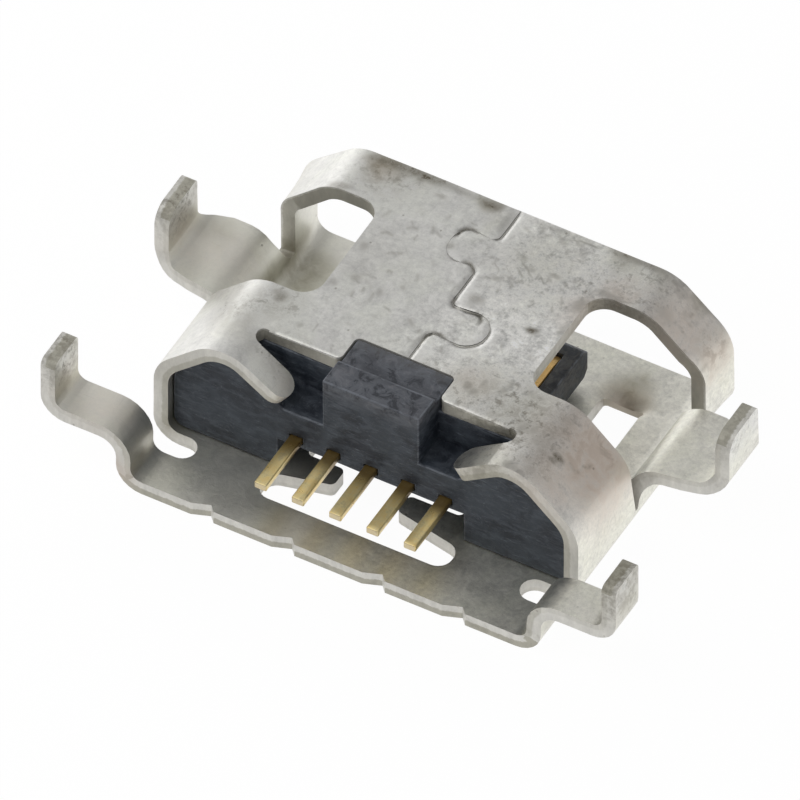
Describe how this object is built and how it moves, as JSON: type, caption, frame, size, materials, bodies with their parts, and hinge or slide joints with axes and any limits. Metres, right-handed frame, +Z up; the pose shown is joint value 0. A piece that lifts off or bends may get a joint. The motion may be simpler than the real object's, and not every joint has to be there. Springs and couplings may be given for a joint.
{
  "type": "micro usb socket",
  "caption": "Surface mount micro usb type B socket: folded tin plated shell with board lugs, black insert with tongue, and a row of gold plated contacts.",
  "frame": {"origin": "middle of the underside of the wide plate, midway between the plate's rear edge and the mouth", "axes": "+X along the row of contacts, +Y out of the mouth, against the plug's way in, +Z up from the wide plate to the narrow top with the seam"},
  "size_m": [0.01, 0.006, 0.0025],
  "materials": {
    "shell_tin_plate": "matte tin plate on folded steel sheet, with scuffs, pits and dull patches",
    "housing_plastic": "blue-black glass-filled moulding, finely speckled",
    "contact_gold": "thin gold plate on copper alloy, brown where it leaves the moulding"
  },
  "bodies": {
    "root": {"shell": "shell_tin_plate", "housing": "housing_plastic", "contact_1": "contact_gold", "contact_2": "contact_gold", "contact_3": "contact_gold", "contact_4": "contact_gold", "contact_5": "contact_gold"}
  },
  "joints": []
}
